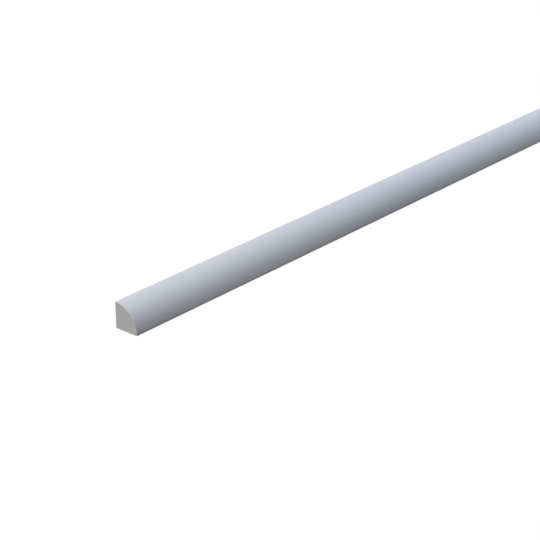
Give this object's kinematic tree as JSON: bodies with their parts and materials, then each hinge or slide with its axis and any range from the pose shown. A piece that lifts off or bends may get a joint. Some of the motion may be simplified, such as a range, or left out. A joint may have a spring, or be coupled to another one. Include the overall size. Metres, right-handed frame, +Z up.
{
  "type": "quarter round moulding",
  "caption": "Straight length of solid plastic moulding with a quarter-circle section, two flat faces at a right angle and square-cut ends.",
  "frame": {"origin": "on the flat bottom face, halfway along the length and halfway across the width", "axes": "+X along the moulding, +Y out of the flat back, +Z up from the flat bottom; the curved face looks towards -Y and +Z"},
  "size_m": [2.4, 0.0175, 0.0175],
  "materials": {
    "white_plastic": "satin"
  },
  "bodies": {
    "root": {"quarter_round_moulding": "white_plastic"}
  },
  "joints": []
}
